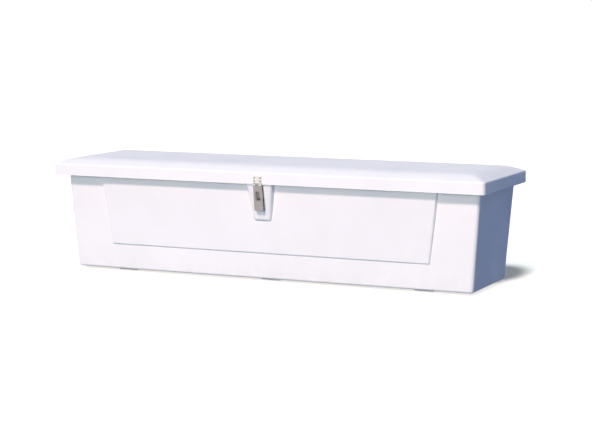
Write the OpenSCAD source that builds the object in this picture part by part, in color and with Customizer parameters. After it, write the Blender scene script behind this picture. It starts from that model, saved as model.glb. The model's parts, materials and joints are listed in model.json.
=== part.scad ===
/* [Overall size] */
// Length of the lid
box_l = 1828.8; // [1500:0.2:2200]
// Depth of the lid from front to back
box_d = 508; // [440:1:640]
// Height from the ground to the top of the lid
box_h = 457.2; // [400:0.2:560]

/* [Lid] */
// Height of the upright lip round the lid
lip_h = 46; // [40:1:54]
// Rise of the sloped border above the lip
crown_h = 24; // [18:1:32]
// Width of the sloped border, seen from above
crown_inset = 62; // [45:1:80]
// Corner radius of the lip, seen from above
lid_corner_r = 16; // [10:1:26]
// Laminate thickness of the lid
lid_t = 5; // [4:0.5:6.5]
// Thickness of the stiffening core
core_t = 18; // [14:1:22]
// Thickness of the inner liner
liner_t = 3; // [2:0.5:4]

/* [Body] */
// From the lid's end to the body wall, at the rim
overhang_end = 32; // [28:1:60]
// From the lid's front to the body wall, at the rim
overhang_front = 51; // [48:1:70]
// From the lid's back to the body wall, at the rim
overhang_back = 38; // [34:1:60]
// How far each end wall leans in from rim to floor
taper_end = 33; // [20:1:50]
// How far the front and back walls lean in from rim to floor
taper_side = 17; // [8:1:28]
// Corner radius of the body, seen from above
body_corner_r = 14; // [10:1:24]
// Laminate thickness of the walls
wall_t = 5; // [4:0.5:6]
// Laminate thickness of the floor
floor_t = 6; // [5:0.5:8]
// Width of the rim flange outside the wall
flange_w = 18; // [17:0.5:22]

/* [Front panel] */
// How far the panel stands out of the wall at its top
panel_proud = 16; // [11:0.5:17]
// How far it stands out at its foot
panel_foot_proud = 7; // [6:0.5:10]
// From the end wall to the panel, at the rim
panel_margin = 163; // [80:1:240]
// How much further in each side of the panel is at its foot
panel_lean = 40; // [10:1:80]
// Height of the panel's foot above the ground
panel_foot_z = 112; // [60:1:180]
// Draft on the panel's sides
panel_draft = 5; // [2:0.5:8]

/* [Latch boss] */
// Width of the boss at its top
boss_top_w = 108; // [90:1:140]
// Width of the boss at its foot
boss_foot_w = 68; // [60:1:100]
// Depth of the boss below the lid's lip
boss_drop = 144; // [130:1:170]
// From the boss face out to the face of the lip
boss_setback = 8.5; // [8.5:0.1:11]
// Draft on the boss's sides
boss_draft = 6; // [2:0.5:10]
// Degrees that the boss face leans back towards its foot
boss_lean = 11.5; // [6:0.5:12]

/* [Rear ledge] */
// From the lid's end to the end of the ledge
ledge_margin = 76; // [66:1:160]
// Gap between the ledge and the lip above it
ledge_gap = 6; // [4:0.5:8]
// Height of the ledge's upright face
ledge_face_h = 34; // [32:1:48]

/* [Rim seal] */
// Width of the seal
seal_w = 14; // [8:1:15]
// Height of the seal
seal_h = 6; // [4:0.5:8]
// From the seal to the edge of the rim flange
seal_margin = 4; // [3:0.5:6]

/* [Hinge] */
// From the lid's end to the end of the hinge
hinge_margin = 94; // [90:1:180]
// Width of each leaf from the pin
hinge_leaf_w = 26; // [24:0.5:28]
// Thickness of the leaves
hinge_leaf_t = 1.5; // [1:0.1:1.8]
// Diameter of the hinge pin
hinge_pin_d = 3.2; // [2.6:0.1:3.6]
// Length of one knuckle
knuckle_l = 40; // [30:1:60]
// Distance between rivets
rivet_pitch = 120; // [80:1:160]
// Diameter of the rivets
rivet_d = 3.2; // [2.8:0.1:3.6]
// Thickness of the backing strips
strip_t = 2; // [1.5:0.1:3]
// Width of the backing strips
strip_w = 13; // [11:0.5:14]

/* [Hasp] */
// Width of the hasp
hasp_w = 38; // [36:1:46]
// Length of the strap below its pin
strap_l = 106; // [98:1:118]
// Degrees that the strap leans in towards the boss
strap_lean = 7; // [0:0.5:7.5]
// Thickness of the strap and the leaf
hasp_t = 2; // [1.5:0.1:2.5]
// Diameter of the hasp pin
hasp_pin_d = 4; // [3.4:0.1:4.6]
// Height of the leaf above its pin
hasp_leaf_h = 31; // [29:0.5:33]
// Width of the slot in the strap
slot_w = 20; // [19:0.5:23]
// Height of the slot in the strap
slot_h = 34; // [33:0.5:38]
// Depth of the slot's middle below the strap's pin
slot_drop = 46; // [44:0.5:50]

/* [Staple] */
// Width of the staple plate
staple_w = 36; // [34:1:44]
// Height of the staple plate
staple_h = 62; // [58:1:70]
// Thickness of the staple plate
staple_t = 2; // [1.5:0.1:2.2]
// Wire diameter of the ring
ring_wire_d = 4.5; // [4:0.1:4.8]
// Width of the ring between the middles of its arms
ring_w = 13.5; // [12.5:0.1:14]
// Length of the ring from its pivot to the middle of its bow
ring_l = 22; // [20:0.5:24]

/* [Lid stays] */
// From the hinge to each pivot of a stay
stay_reach = 150; // [140:1:180]
// Drop of the stay's pivot below the lid liner
stay_pivot_drop = 26; // [24:0.5:30]
// Width of the slotted arm
arm_w = 20; // [18:0.5:24]
// Thickness of the arm
arm_t = 3; // [2:0.1:4]
// Diameter of the stud and of the pivot
stay_stud_d = 8; // [6:0.1:9]
// Gap between the foot of the arm and the end wall
arm_wall_gap = 6; // [4:0.5:10]
// Thickness of the plywood pads behind the studs
pad_t = 10; // [6:0.5:12]
// Thickness of the brackets
bracket_t = 2.5; // [2:0.1:3.5]

/* [Skids and floor bolts] */
// Height of the skids
skid_h = 10; // [6:0.5:20]
// Width of each skid
skid_w = 80; // [60:1:120]
// From the body's front or back edge to the end of a skid
skid_setback = 40; // [20:1:44]
// From the body's end edge to the middle of an outer skid
skid_inset = 209; // [120:1:320]
// Diameter of the floor bolt holes
bolt_hole_d = 11; // [9:0.1:13]
// Distance between floor bolts from front to back
bolt_span_y = 230; // [180:1:260]

/* [Hidden] */
$fn = 64;
hull_fn = 32;
eps = 0.1;
cut = 1;
fit_gap = 0.3;
pin_gap = 0.05;
hole_gap = 0.15;
side_gap = 0.4;

// Colours
gelcoat = [0.95, 0.95, 0.96];
steel = [0.72, 0.73, 0.75];
rubber = [0.12, 0.12, 0.13];
plywood = [0.72, 0.57, 0.38];
runner = [0.86, 0.87, 0.87];
alloy = [0.62, 0.63, 0.65];

// Fasteners
screw_d = 5;
screw_head_d = 9;
screw_head_h = 2;
small_screw_d = 3.5;
small_head_d = 6.8;
recess_w = 1.2;
recess_share = 0.62;
recess_depth = 1.2;
nut_d = 7.4;
nut_h = 3.2;
nut_proud = 1;
rivet_head_d = 6.6;
rivet_head_top_d = 4.6;
rivet_head_h = 1.2;
rivet_tail_d = 5;
rivet_tail_h = 2.4;

// Heights of the lid and the rim
lip_top = box_h - crown_h;
lip_foot = lip_top - lip_h;
crown_angle = atan(crown_h / crown_inset);
liner_top = box_h - lid_t - core_t;
liner_z = liner_top - liner_t;
rim_z = liner_z - fit_gap - seal_h;
// The slope's inner face, measured in from the lid's edge
slope_in = lid_t / cos(crown_angle);
liner_inset = max(lid_t, (liner_top - lip_top + slope_in) / tan(crown_angle)) + fit_gap;
plateau_in = crown_inset + lid_t * tan(crown_angle / 2);

// Body walls: half length and half depth at a height
body_y = (overhang_front - overhang_back) / 2;
rim_half_l = box_l / 2 - overhang_end;
rim_half_d = (box_d - overhang_front - overhang_back) / 2;
foot_z = skid_h;
function share_down(z) = (rim_z - z) / (rim_z - foot_z);
function half_l(z) = rim_half_l - taper_end * share_down(z);
function half_d(z) = rim_half_d - taper_side * share_down(z);
function inner_half_l(z) = half_l(z) - wall_t;
function front_y(z) = body_y - half_d(z);
end_lean = atan(taper_end / (rim_z - foot_z));
front_lean = atan(taper_side / (rim_z - foot_z));

// Front panel and latch boss
panel_top_z = rim_z - wall_t;
panel_half_w = rim_half_l - panel_margin;
panel_slope = atan((panel_proud - panel_foot_proud) / (panel_top_z - panel_foot_z));
boss_face_y = -box_d / 2 + boss_setback;
boss_tuck = 2;
boss_top_z = lip_foot + boss_tuck;
boss_foot_z = lip_foot - boss_drop;
boss_root_y = front_y(boss_foot_z) + wall_t;
// Where the leaning boss face is at a height
function boss_y(z) = hasp_y + (boss_face_y - hasp_y) / cos(boss_lean) + (hasp_z - z) * tan(boss_lean);

// Rear ledge and hinge
ledge_y = box_d / 2;
ledge_top_z = lip_foot - ledge_gap;
ledge_half_l = box_l / 2 - ledge_margin;
ledge_slope = 45;
ledge_root_y = body_y + half_d(ledge_top_z) - wall_t;
knuckle_r = hinge_pin_d / 2 + pin_gap + hinge_leaf_t;
hinge_seat = 0.15;
hinge_y = box_d / 2 + knuckle_r + hinge_seat;
hinge_z = lip_foot - ledge_gap / 2;
hinge_l = box_l - 2 * hinge_margin;
knuckles = floor(hinge_l / knuckle_l);
hinge_half_l = knuckles * knuckle_l / 2;
rivets = floor((2 * hinge_half_l - knuckle_l) / rivet_pitch) + 1;
rivet_drop = 16;
rivet_hole_d = rivet_d + 2 * hole_gap;
function rivet_x(i) = (i - (rivets - 1) / 2) * rivet_pitch;

// Hasp
front_face_y = -box_d / 2;
barrel_r = hasp_pin_d / 2 + pin_gap + hasp_t;
hasp_y = front_face_y - barrel_r - hinge_seat;
hasp_z = lip_foot;
strap_knuckle_w = 14;
tab_start = 1.5;
strap_end_r = 8;
slot_r = 4;
leaf_screw_x = 12;
leaf_screw_low = 12;
leaf_screw_high = 25;
backing_t = 2;
backing_low = 7.5;

// Staple and ring
ring_drop = 35;
plate_drop = 43;
ring_z = hasp_z - ring_drop;
plate_z = hasp_z - plate_drop;
plate_face_y = boss_face_y - staple_t;
ring_y = plate_face_y - fit_gap - ring_wire_d / 2;
ring_bend_r = 3.5;
lug_w = 5.6;
lug_wall = 1.4;
lug_r = ring_wire_d / 2 + pin_gap + lug_wall;
staple_screw_x = 12;
staple_screw_margin = 6;

// Lid stays, worked out for the right-hand end
pivot_z = liner_z - stay_pivot_drop;
pivot_rise = pivot_z - hinge_z;
pivot_y = hinge_y - sqrt(stay_reach * stay_reach - pivot_rise * pivot_rise);
stud_z = hinge_z - pivot_rise;
lid_travel = 90;
half_angle = asin(pivot_rise / stay_reach);
stay_shut = 2 * pivot_rise;
stay_open = 2 * stay_reach * sin(half_angle + lid_travel / 2);
arm_foot_z = pivot_z - stay_open - arm_w / 2;
arm_x = inner_half_l(arm_foot_z) - arm_wall_gap - arm_t;
arm_slot_w = stay_stud_d + 2 * fit_gap;
stud_head_d = 14;
stud_head_h = 3;
stud_shoulder_d = 13;
pad_w = 60;
pad_h = 56;
stud_plate_w = 48;
stud_plate_h = 44;
stud_screw_x = 17;
stay_screw_l = 8;
bracket_w = 44;
bracket_flange = 34;
bracket_screw_y = 14;
bracket_screw_x = 22;
bracket_screw_l = 14;

// Skids and floor bolts
skid_x = half_l(foot_z) - skid_inset;
skid_half_l = half_d(foot_z) - skid_setback;
skid_screw_out = 22;
skid_screw_y = bolt_span_y / 2 + skid_screw_out;
skid_screw_depth = 8;
floor_top_z = foot_z + floor_t;

// Shared shapes

module rounded_rect(l, d, r) {
    square([l - 2 * r, d], center = true);
    square([l, d - 2 * r], center = true);
    for (sx = [-1, 1], sy = [-1, 1])
        translate([sx * (l / 2 - r), sy * (d / 2 - r)]) circle(r);
}

module slab(l, d, r, z0, z1) {
    translate([0, 0, z0]) linear_extrude(z1 - z0) rounded_rect(l, d, r);
}

// A tapering block between two heights, with rounded corners
module tapered_block(l0, d0, z0, l1, d1, z1, r) {
    hull() {
        slab(l0, d0, r, z0, z0 + eps, $fn = hull_fn);
        slab(l1, d1, r, z1 - eps, z1, $fn = hull_fn);
    }
}

// A raised pad with drafted sides: foot at height 0, standing out along -Y, its face leaning out
module drafted_pad(foot_half, top_half, h, depth, draft, root, lean = 0) {
    face_h = h / cos(lean);
    hull() {
        rotate([90 + lean, 0, 0]) translate([0, 0, depth - eps]) linear_extrude(eps)
            polygon([[-foot_half, 0], [foot_half, 0], [top_half, face_h], [-top_half, face_h]]);
        rotate([90, 0, 0]) translate([0, 0, -root]) linear_extrude(eps)
            polygon([[-foot_half - draft, -draft], [foot_half + draft, -draft],
                     [top_half + draft, h], [-top_half - draft, h]]);
    }
}

// A cylinder that runs along X, centred
module rod_x(d, l) {
    rotate([0, 90, 0]) cylinder(d = d, h = l, center = true);
}

// A cylinder that runs from y0 to y1
module rod_y(d, y0, y1) {
    translate([0, y0, 0]) rotate([-90, 0, 0]) cylinder(d = d, h = y1 - y0);
}

// A pan-head screw: seat at height 0, head above, shank below
module pan_screw(d, head_d, l) {
    top_d = head_d - screw_head_h;
    recess_l = recess_share * top_d;
    difference() {
        union() {
            cylinder(d1 = head_d, d2 = top_d, h = screw_head_h);
            translate([0, 0, -l]) cylinder(d = d, h = l + eps);
        }
        for (a = [0, 90])
            rotate(a) translate([-recess_l / 2, -recess_w / 2, screw_head_h - recess_depth])
                cube([recess_l, recess_w, recess_depth + cut]);
    }
}

// A hex nut with its bore, seat at height 0
module hex_nut(bore) {
    difference() {
        cylinder(d = nut_d, h = nut_h, $fn = 6);
        translate([0, 0, -cut]) cylinder(d = bore + 2 * hole_gap, h = nut_h + 2 * cut);
    }
}

// A set rivet: seat of the head at height 0, grip below it
module rivet(grip) {
    cylinder(d1 = rivet_head_d, d2 = rivet_head_top_d, h = rivet_head_h);
    translate([0, 0, -grip - eps]) cylinder(d = rivet_d, h = grip + 2 * eps);
    translate([0, 0, -grip - rivet_tail_h]) cylinder(d = rivet_tail_d, h = rivet_tail_h);
}

module on_side(side) {
    if (side < 0) mirror([1, 0, 0]) children();
    else children();
}

// Turned about the hasp pin, with what hangs below it moving in
module about_hasp_pin(angle) {
    translate([0, hasp_y, hasp_z]) rotate([angle, 0, 0]) translate([0, -hasp_y, -hasp_z]) children();
}

// Along the leaning boss face
module on_boss() {
    about_hasp_pin(boss_lean) children();
}

// On the inner face of the right end wall, z along the wall and x outwards
module on_end_wall() {
    translate([inner_half_l(stud_z), pivot_y, stud_z]) rotate([0, end_lean, 0]) children();
}

// Body

module tub_outer() {
    translate([0, body_y, 0])
        tapered_block(2 * half_l(foot_z), 2 * half_d(foot_z), foot_z,
                      2 * rim_half_l, 2 * rim_half_d, rim_z, body_corner_r);
    translate([0, body_y, 0])
        slab(2 * (rim_half_l + flange_w), 2 * (rim_half_d + flange_w), body_corner_r + flange_w,
             rim_z - wall_t, rim_z);
}

module tub_inner() {
    over_z = rim_z + cut;
    translate([0, body_y, 0])
        tapered_block(2 * inner_half_l(floor_top_z), 2 * (half_d(floor_top_z) - wall_t), floor_top_z,
                      2 * inner_half_l(over_z), 2 * (half_d(over_z) - wall_t), over_z,
                      body_corner_r - wall_t);
}

module panel_block(skin) {
    h = panel_top_z - panel_foot_z;
    translate([0, front_y(panel_foot_z), panel_foot_z + skin]) rotate([front_lean, 0, 0])
        drafted_pad(panel_half_w - panel_lean - skin, panel_half_w - skin,
                    (h - skin) / cos(front_lean), panel_foot_proud - skin, panel_draft, wall_t + skin,
                    panel_slope);
}

module boss_block(skin) {
    foot = boss_foot_z + skin;
    face_y = boss_y(foot) + skin / cos(boss_lean);
    translate([0, face_y, foot])
        drafted_pad(boss_foot_w / 2 - skin, boss_top_w / 2 - skin, boss_top_z - skin - foot, 0, boss_draft,
                    boss_root_y + skin - face_y, boss_lean);
}

// Ledge for the hinge: flat top, upright face, sloping back to the wall below
module ledge_block(skin) {
    out = ledge_y - skin;
    top = ledge_top_z - skin;
    foot = ledge_top_z - ledge_face_h + skin * tan(ledge_slope / 2);
    half = ledge_half_l - skin;
    translate([-half, 0, 0]) rotate([90, 0, 90]) linear_extrude(2 * half)
        polygon([[ledge_root_y - skin, top], [out, top], [out, foot],
                 [ledge_root_y - skin, foot - (out - ledge_root_y + skin) * tan(ledge_slope)]]);
}

module at_floor_bolts() {
    for (sx = [-1, 1], sy = [-1, 1])
        translate([sx * skid_x, body_y + sy * bolt_span_y / 2, 0]) children();
}

module at_skid_screws() {
    for (i = [-1, 0, 1], sy = [-1, 1])
        translate([i * skid_x, body_y + sy * skid_screw_y, floor_top_z]) children();
}

module at_staple_screws() {
    on_boss() for (sx = [-1, 1], sz = [-1, 1])
        translate([sx * staple_screw_x, plate_face_y, plate_z + sz * (staple_h / 2 - staple_screw_margin)])
            children();
}

module at_body_rivets() {
    for (i = [0 : rivets - 1])
        translate([rivet_x(i), 0, hinge_z - rivet_drop]) children();
}

module at_lid_rivets() {
    for (i = [0 : rivets - 1])
        translate([rivet_x(i), 0, hinge_z + rivet_drop]) children();
}

module body_shell() {
    color(gelcoat) difference() {
        union() {
            tub_outer();
            panel_block(0);
            boss_block(0);
            ledge_block(0);
        }
        tub_inner();
        panel_block(wall_t);
        boss_block(wall_t);
        ledge_block(wall_t);
        at_floor_bolts() translate([0, 0, foot_z - cut])
            cylinder(d = bolt_hole_d, h = floor_t + 2 * cut);
        at_skid_screws() translate([0, 0, -floor_t - cut])
            cylinder(d = screw_d + 2 * hole_gap, h = floor_t + 2 * cut);
        at_staple_screws() rod_y(small_screw_d + 2 * hole_gap, -cut, staple_t + wall_t + cut);
        at_body_rivets() rod_y(rivet_hole_d, ledge_y - wall_t - cut, ledge_y + cut);
    }
}

module rim_seal() {
    half_out_l = rim_half_l + flange_w - seal_margin;
    half_out_d = rim_half_d + flange_w - seal_margin;
    out_r = body_corner_r + flange_w - seal_margin;
    color(rubber) translate([0, body_y, rim_z]) linear_extrude(seal_h) difference() {
        rounded_rect(2 * half_out_l, 2 * half_out_d, out_r);
        rounded_rect(2 * (half_out_l - seal_w), 2 * (half_out_d - seal_w), out_r - seal_w);
    }
}

module skid(i) {
    color(runner) difference() {
        translate([i * skid_x - skid_w / 2, body_y - skid_half_l, 0])
            cube([skid_w, 2 * skid_half_l, skid_h]);
        if (i != 0)
            at_floor_bolts() translate([0, 0, -cut]) cylinder(d = bolt_hole_d, h = skid_h + 2 * cut);
        at_skid_screws() translate([0, 0, -floor_t - skid_screw_depth])
            cylinder(d = screw_d + 2 * hole_gap, h = skid_screw_depth + cut);
    }
}

module skid_screws() {
    color(steel) at_skid_screws() pan_screw(screw_d, screw_head_d, floor_t + skid_screw_depth - cut);
}

// Rear hinge: leaf 0 is the body's, leaf 1 the lid's

module hinge_leaf(leaf) {
    up = leaf == 0 ? -1 : 1;
    root = knuckle_r + side_gap;
    plate_l = knuckles * knuckle_l;
    color(steel) difference() {
        union() {
            translate([-hinge_half_l, box_d / 2, hinge_z + (up > 0 ? root : -hinge_leaf_w)])
                cube([plate_l, hinge_leaf_t, hinge_leaf_w - root]);
            for (i = [leaf : 2 : knuckles - 1])
                translate([-hinge_half_l + (i + 0.5) * knuckle_l, 0, 0]) {
                    translate([0, hinge_y, hinge_z]) rod_x(2 * knuckle_r, knuckle_l - side_gap);
                    translate([-(knuckle_l - side_gap) / 2, box_d / 2, hinge_z + (up > 0 ? 0 : -root - eps)])
                        cube([knuckle_l - side_gap, hinge_leaf_t, root + eps]);
                }
        }
        translate([0, hinge_y, hinge_z]) rod_x(hinge_pin_d + 2 * pin_gap, plate_l + 2 * cut);
        for (i = [0 : rivets - 1])
            translate([rivet_x(i), 0, hinge_z + up * rivet_drop])
                rod_y(rivet_hole_d, box_d / 2 - cut, box_d / 2 + hinge_leaf_t + cut);
    }
}

module hinge_pin() {
    color(steel) translate([0, hinge_y, hinge_z]) rod_x(hinge_pin_d, knuckles * knuckle_l);
}

module hinge_rivet(laminate) {
    translate([0, box_d / 2 + hinge_leaf_t, 0]) rotate([-90, 0, 0])
        rivet(hinge_leaf_t + laminate + strip_t);
}

module hinge_strip(laminate, up) {
    color(alloy) difference() {
        translate([-hinge_half_l, box_d / 2 - laminate - strip_t, hinge_z + up * rivet_drop - strip_w / 2])
            cube([2 * hinge_half_l, strip_t, strip_w]);
        for (i = [0 : rivets - 1])
            translate([rivet_x(i), 0, hinge_z + up * rivet_drop])
                rod_y(rivet_hole_d, box_d / 2 - laminate - strip_t - cut, box_d / 2);
    }
}

module hinge_rivets_body() {
    color(alloy) at_body_rivets() hinge_rivet(wall_t);
}

module hinge_rivets_lid() {
    color(alloy) at_lid_rivets() hinge_rivet(lid_t);
}

// Staple on the boss, with its folding ring

module plate_xz(w, h, r, y0, t) {
    translate([0, y0 + t, 0]) rotate([90, 0, 0]) linear_extrude(t) rounded_rect(w, h, r);
}

module staple_plate() {
    plate_r = 3;
    color(steel) difference() {
        on_boss() {
            translate([0, 0, plate_z]) plate_xz(staple_w, staple_h, plate_r, plate_face_y, staple_t);
            translate([0, ring_y, ring_z]) rod_x(2 * lug_r, lug_w);
            translate([-lug_w / 2, ring_y, ring_z - ring_wire_d / 2])
                cube([lug_w, boss_face_y - ring_y - staple_t / 2, ring_wire_d]);
        }
        on_boss() translate([0, ring_y, ring_z]) rod_x(ring_wire_d + 2 * pin_gap, lug_w + 2 * cut);
        at_staple_screws() rod_y(small_screw_d + 2 * hole_gap, -cut, staple_t + cut);
    }
}

module staple_screws() {
    l = staple_t + wall_t + backing_t + nut_h + nut_proud;
    color(steel) at_staple_screws() rotate([90, 0, 0]) pan_screw(small_screw_d, small_head_d, l);
}

module staple_nuts() {
    color(steel) at_staple_screws() translate([0, staple_t + wall_t + backing_t, 0])
        rotate([-90, 0, 0]) hex_nut(small_screw_d);
}

module staple_backing_plate() {
    plate_r = 3;
    color(steel) difference() {
        on_boss() translate([0, 0, plate_z])
            plate_xz(staple_w, staple_h, plate_r, boss_face_y + wall_t, backing_t);
        at_staple_screws()
            rod_y(small_screw_d + 2 * hole_gap, staple_t + wall_t - cut, staple_t + wall_t + backing_t + cut);
    }
}

// A bent length of ring wire in the XZ plane, from one angle on round
module wire_bend(r, from, sweep) {
    rotate([90, 0, 0]) rotate(from) rotate_extrude(angle = sweep) translate([r, 0]) circle(d = ring_wire_d);
}

module staple_ring() {
    arm_half = ring_w / 2;
    bow_z = -ring_l + arm_half;
    color(steel) on_boss() translate([0, ring_y, ring_z]) {
        rod_x(ring_wire_d, ring_w - 2 * ring_bend_r);
        for (side = [-1, 1]) {
            translate([side * (arm_half - ring_bend_r), 0, -ring_bend_r])
                wire_bend(ring_bend_r, side > 0 ? 0 : 90, 90);
            translate([side * arm_half, 0, bow_z])
                cylinder(d = ring_wire_d, h = -ring_bend_r - bow_z);
        }
        translate([0, 0, bow_z]) wire_bend(arm_half, 180, 180);
    }
}

// Lid

module lid_shell() {
    inner_foot = lip_top + lid_t * tan(crown_angle) - slope_in;
    color(gelcoat) difference() {
        union() {
            slab(box_l, box_d, lid_corner_r, lip_foot, lip_top);
            tapered_block(box_l, box_d, lip_top - eps, box_l - 2 * crown_inset, box_d - 2 * crown_inset,
                          box_h, lid_corner_r);
        }
        slab(box_l - 2 * lid_t, box_d - 2 * lid_t, lid_corner_r - lid_t, lip_foot - cut, inner_foot);
        tapered_block(box_l - 2 * lid_t, box_d - 2 * lid_t, inner_foot - eps,
                      box_l - 2 * plateau_in, box_d - 2 * plateau_in, box_h - lid_t, lid_corner_r - lid_t);
        at_lid_rivets() rod_y(rivet_hole_d, box_d / 2 - lid_t - cut, box_d / 2 + cut);
        at_hasp_screws() rod_y(small_screw_d + 2 * hole_gap, -cut, hasp_t + lid_t + cut);
    }
}

module at_bracket_screws() {
    for (side = [-1, 1], sy = [-1, 1])
        translate([side * (arm_x - bracket_screw_x), pivot_y + sy * bracket_screw_y, liner_z - bracket_t])
            children();
}

module lid_core() {
    core_in = plateau_in + fit_gap;
    color(plywood) difference() {
        slab(box_l - 2 * core_in, box_d - 2 * core_in, lid_corner_r - lid_t, liner_top, box_h - lid_t);
        at_bracket_screws() cylinder(d = screw_d + 2 * hole_gap, h = bracket_screw_l + cut);
    }
}

module lid_liner() {
    color(gelcoat) difference() {
        slab(box_l - 2 * liner_inset, box_d - 2 * liner_inset, lid_corner_r, liner_z, liner_top);
        at_bracket_screws() cylinder(d = screw_d + 2 * hole_gap, h = bracket_screw_l);
    }
}

// Hasp

module at_hasp_screws() {
    for (sx = [-1, 1], dz = [leaf_screw_low, leaf_screw_high])
        translate([sx * leaf_screw_x, front_face_y - hasp_t, hasp_z + dz]) children();
}

// One half of the hasp: a plate hung on knuckles, going up or down from the pin
module hasp_half(up, far, spans) {
    root = barrel_r + side_gap;
    translate([-hasp_w / 2, front_face_y - hasp_t, hasp_z + (up > 0 ? root : -far + strap_end_r)])
        cube([hasp_w, hasp_t, far - root - (up > 0 ? 0 : strap_end_r)]);
    for (s = spans)
        translate([s[0], 0, hasp_z]) {
            translate([s[1] / 2, hasp_y, 0]) rod_x(2 * barrel_r, s[1]);
            translate([0, front_face_y - hasp_t, up > 0 ? tab_start : -root - eps])
                cube([s[1], hasp_t, root + eps - tab_start]);
        }
}

module hasp_bore() {
    translate([0, hasp_y, hasp_z]) rod_x(hasp_pin_d + 2 * pin_gap, hasp_w + 2 * cut);
}

module hasp_leaf() {
    span = (hasp_w - strap_knuckle_w) / 2 - side_gap;
    color(steel) difference() {
        hasp_half(1, hasp_leaf_h, [[-hasp_w / 2, span], [hasp_w / 2 - span, span]]);
        hasp_bore();
        at_hasp_screws() rod_y(small_screw_d + 2 * hole_gap, -cut, hasp_t + cut);
    }
}

module hasp_strap() {
    color(steel) about_hasp_pin(strap_lean) difference() {
        union() {
            hasp_half(-1, strap_l, [[-strap_knuckle_w / 2, strap_knuckle_w]]);
            translate([0, front_face_y, hasp_z - strap_l + strap_end_r]) rotate([90, 0, 0])
                linear_extrude(hasp_t) rounded_rect(hasp_w, 2 * strap_end_r, strap_end_r - eps);
        }
        hasp_bore();
        translate([0, 0, hasp_z - slot_drop])
            plate_xz(slot_w, slot_h, slot_r, front_face_y - hasp_t - cut, hasp_t + 2 * cut);
    }
}

module hasp_pin() {
    color(steel) translate([0, hasp_y, hasp_z]) rod_x(hasp_pin_d, hasp_w);
}

module hasp_screws() {
    l = hasp_t + lid_t + backing_t + nut_h + nut_proud;
    color(steel) at_hasp_screws() rotate([90, 0, 0]) pan_screw(small_screw_d, small_head_d, l);
}

module hasp_nuts() {
    color(steel) at_hasp_screws() translate([0, hasp_t + lid_t + backing_t, 0])
        rotate([-90, 0, 0]) hex_nut(small_screw_d);
}

module hasp_backing_plate() {
    backing_h = hasp_leaf_h - backing_low;
    color(steel) difference() {
        translate([-hasp_w / 2, front_face_y + lid_t, hasp_z + backing_low])
            cube([hasp_w, backing_t, backing_h]);
        at_hasp_screws()
            rod_y(small_screw_d + 2 * hole_gap, hasp_t + lid_t - cut, hasp_t + lid_t + backing_t + cut);
    }
}

// Lid stays: a slotted arm pivots on the lid and rides on a stud on the end wall

module stay_pad(side) {
    color(plywood) on_side(side) difference() {
        on_end_wall() translate([-pad_t, -pad_w / 2, -pad_h / 2]) cube([pad_t, pad_w, pad_h]);
        at_stud_screws() translate([0, 0, -stay_screw_l - cut])
            cylinder(d = screw_d + 2 * hole_gap, h = stay_screw_l + 2 * cut);
    }
}

// On the bracket's inner face, with the screw's head towards the middle of the box
module at_stud_screws() {
    on_end_wall() for (sy = [-1, 1])
        translate([-pad_t - bracket_t, sy * stud_screw_x, 0]) rotate([0, -90, 0]) children();
}

module stay_stud(side) {
    plate_x = inner_half_l(stud_z) - (pad_t + bracket_t / 2) / cos(end_lean);
    shoulder_x = arm_x + arm_t + fit_gap;
    head_x = arm_x - fit_gap;
    color(steel) on_side(side) difference() {
        union() {
            on_end_wall() translate([-pad_t - bracket_t, -stud_plate_w / 2, -stud_plate_h / 2])
                cube([bracket_t, stud_plate_w, stud_plate_h]);
            translate([shoulder_x, pivot_y, stud_z]) rotate([0, 90, 0])
                cylinder(d = stud_shoulder_d, h = plate_x - shoulder_x);
            translate([head_x - eps, pivot_y, stud_z]) rotate([0, 90, 0])
                cylinder(d = stay_stud_d, h = shoulder_x - head_x + 2 * eps);
            translate([head_x - stud_head_h, pivot_y, stud_z]) rotate([0, 90, 0])
                cylinder(d = stud_head_d, h = stud_head_h);
        }
        at_stud_screws() translate([0, 0, -bracket_t - cut])
            cylinder(d = screw_d + 2 * hole_gap, h = bracket_t + 2 * cut);
    }
}

module stay_stud_screws() {
    color(steel) for (side = [-1, 1])
        on_side(side) at_stud_screws() pan_screw(screw_d, screw_head_d, stay_screw_l);
}

// Folded bracket: a flange under the liner and a cheek outside the arm
module stay_bracket(side) {
    cheek_x = arm_x + arm_t + fit_gap;
    cheek_foot = pivot_z - arm_w / 2;
    color(steel) on_side(side) difference() {
        union() {
            translate([cheek_x - bracket_flange, pivot_y - bracket_w / 2, liner_z - bracket_t])
                cube([bracket_flange + bracket_t, bracket_w, bracket_t]);
            translate([cheek_x, pivot_y - bracket_w / 2, pivot_z])
                cube([bracket_t, bracket_w, liner_z - pivot_z - bracket_t / 2]);
            translate([cheek_x, pivot_y - arm_w / 2, cheek_foot]) cube([bracket_t, arm_w, arm_w]);
        }
        translate([cheek_x, pivot_y, pivot_z])
            rod_x(stay_stud_d + 2 * pin_gap, 2 * (bracket_t + cut));
        at_bracket_screws() translate([0, 0, -cut])
            cylinder(d = screw_d + 2 * hole_gap, h = bracket_t + 2 * cut);
    }
}

module stay_bracket_screws() {
    color(steel) at_bracket_screws() rotate([180, 0, 0]) pan_screw(screw_d, screw_head_d, bracket_screw_l);
}

// Headed pin through the arm and the bracket's cheek
module stay_pivot(side) {
    grip = arm_t + fit_gap + bracket_t;
    color(steel) on_side(side) translate([arm_x, pivot_y, pivot_z]) rotate([0, 90, 0]) {
        translate([0, 0, -fit_gap - eps]) cylinder(d = stay_stud_d, h = grip + fit_gap + 2 * eps);
        translate([0, 0, -fit_gap - stud_head_h]) cylinder(d = stud_head_d, h = stud_head_h);
        translate([0, 0, grip]) cylinder(d = stud_shoulder_d, h = stud_head_h);
    }
}

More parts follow.
